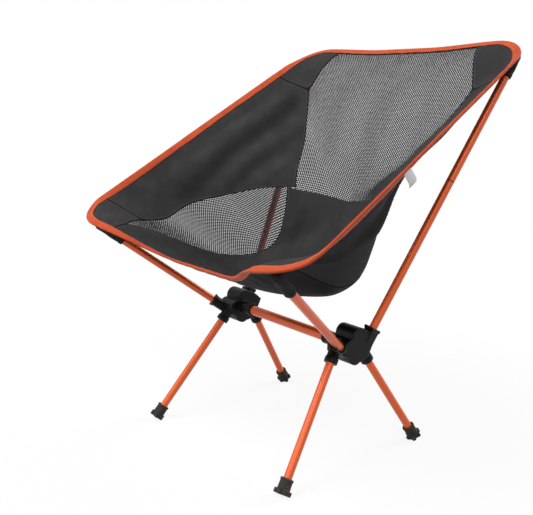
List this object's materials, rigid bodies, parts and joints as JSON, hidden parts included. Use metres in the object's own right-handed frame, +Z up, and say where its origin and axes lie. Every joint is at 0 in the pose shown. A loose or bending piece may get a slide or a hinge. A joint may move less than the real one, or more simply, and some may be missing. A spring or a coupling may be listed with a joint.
{
  "type": "ultralight backpacking chair",
  "caption": "Low folding camp chair: orange tube legs and poles in moulded hubs on a crossbar, with a black cloth and mesh bucket sling edged in orange tape.",
  "frame": {"origin": "on the floor under the middle of the chair's box", "axes": "+Z up; the sitter faces -Y; +X is the sitter's left"},
  "size_m": [0.5828, 0.5247, 0.655],
  "materials": {
    "tube_orange": "satin orange anodised",
    "hub_black": "moulded black plastic",
    "cloth_black": "plain woven black cloth",
    "mesh_grey": "open knitted mesh, see-through",
    "tape_orange": "woven binding tape",
    "rubber_dark": "matt rubber",
    "cord_black": "braided elastic cord",
    "label_white": "satin label tape, blank"
  },
  "bodies": {
    "frame": {"crossbar": "tube_orange", "crossbar_collar_left": "hub_black", "crossbar_collar_right": "hub_black", "hub_left": "hub_black", "hub_right": "hub_black", "seat_panel": "cloth_black", "back_mesh": "mesh_grey", "side_panel_left": "cloth_black", "side_panel_right": "cloth_black", "window_left": "mesh_grey", "window_right": "mesh_grey", "tape_front": "tape_orange", "tape_top": "tape_orange", "tape_side_left": "tape_orange", "tape_side_right": "tape_orange", "care_label": "label_white"},
    "front_left_leg": {"leg_front_left": "tube_orange", "foot_front_left": "rubber_dark", "cord_leg_front_left": "cord_black"},
    "rear_left_leg": {"leg_rear_left": "tube_orange", "foot_rear_left": "rubber_dark", "cord_leg_rear_left": "cord_black"},
    "front_left_pole": {"pole_front_left": "tube_orange", "tip_front_left": "hub_black", "cord_front_left": "cord_black", "patch_front_left": "cloth_black", "pocket_front_left": "cloth_black", "tape_corner_front_left": "tape_orange"},
    "rear_left_lower": {"pole_lower_left": "tube_orange", "ferrule_left": "hub_black", "cord_lower_left": "cord_black"},
    "rear_left_upper": {"pole_upper_left": "tube_orange", "tip_rear_left": "hub_black", "cord_upper_left": "cord_black", "patch_rear_left": "cloth_black", "pocket_rear_left": "cloth_black", "tape_corner_rear_left": "tape_orange"},
    "front_right_leg": {"leg_front_right": "tube_orange", "foot_front_right": "rubber_dark", "cord_leg_front_right": "cord_black"},
    "rear_right_leg": {"leg_rear_right": "tube_orange", "foot_rear_right": "rubber_dark", "cord_leg_rear_right": "cord_black"},
    "front_right_pole": {"pole_front_right": "tube_orange", "tip_front_right": "hub_black", "cord_front_right": "cord_black", "patch_front_right": "cloth_black", "pocket_front_right": "cloth_black", "tape_corner_front_right": "tape_orange"},
    "rear_right_lower": {"pole_lower_right": "tube_orange", "ferrule_right": "hub_black", "cord_lower_right": "cord_black"},
    "rear_right_upper": {"pole_upper_right": "tube_orange", "tip_rear_right": "hub_black", "cord_upper_right": "cord_black", "patch_rear_right": "cloth_black", "pocket_rear_right": "cloth_black", "tape_corner_rear_right": "tape_orange"}
  },
  "joints": [
    {"name": "front_left_leg_pull", "type": "slide", "parent": "frame", "child": "front_left_leg", "axis": [0.1545, -0.5974, -0.7869], "range_m": [0, 0.03]},
    {"name": "rear_left_leg_pull", "type": "slide", "parent": "frame", "child": "rear_left_leg", "axis": [0.1497, 0.5197, -0.8411], "range_m": [0, 0.04]},
    {"name": "front_left_pole_pull", "type": "slide", "parent": "frame", "child": "front_left_pole", "axis": [0.3047, -0.738, 0.6021], "range_m": [0, 0.036]},
    {"name": "rear_left_lower_pull", "type": "slide", "parent": "frame", "child": "rear_left_lower", "axis": [0.1534, 0.4739, 0.8671], "range_m": [0, 0.055]},
    {"name": "rear_left_upper_pull", "type": "slide", "parent": "rear_left_lower", "child": "rear_left_upper", "axis": [0.1534, 0.4739, 0.8671], "range_m": [0, 0.042]},
    {"name": "front_right_leg_pull", "type": "slide", "parent": "frame", "child": "front_right_leg", "axis": [-0.1545, -0.5974, -0.7869], "range_m": [0, 0.03]},
    {"name": "rear_right_leg_pull", "type": "slide", "parent": "frame", "child": "rear_right_leg", "axis": [-0.1497, 0.5197, -0.8411], "range_m": [0, 0.04]},
    {"name": "front_right_pole_pull", "type": "slide", "parent": "frame", "child": "front_right_pole", "axis": [-0.3047, -0.738, 0.6021], "range_m": [0, 0.036]},
    {"name": "rear_right_lower_pull", "type": "slide", "parent": "frame", "child": "rear_right_lower", "axis": [-0.1534, 0.4739, 0.8671], "range_m": [0, 0.055]},
    {"name": "rear_right_upper_pull", "type": "slide", "parent": "rear_right_lower", "child": "rear_right_upper", "axis": [-0.1534, 0.4739, 0.8671], "range_m": [0, 0.042]}
  ]
}
